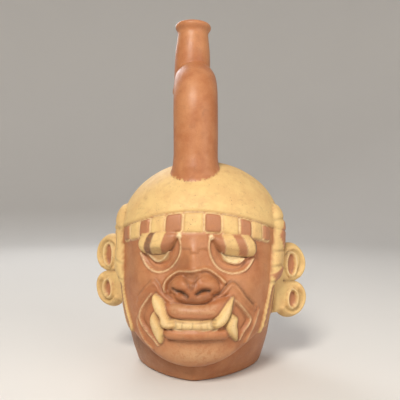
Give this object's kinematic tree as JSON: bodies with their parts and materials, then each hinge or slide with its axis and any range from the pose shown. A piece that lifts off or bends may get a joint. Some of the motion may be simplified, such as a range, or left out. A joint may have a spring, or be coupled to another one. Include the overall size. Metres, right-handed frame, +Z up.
{
  "type": "stirrup spout vessel",
  "caption": "Hollow fired-clay bottle in the shape of a fanged head, with a stirrup-shaped handle tube on the crown that carries a short flared spout.",
  "frame": {"origin": "centre of the flat underside", "axes": "+Z up through the spout, the face looks along -Y, +X to the viewer's right of the face"},
  "size_m": [0.1428, 0.1221, 0.23],
  "materials": {
    "fired_clay": "burnished orange clay with cream and red-brown slip"
  },
  "bodies": {
    "root": {"vessel": "fired_clay"}
  },
  "joints": []
}
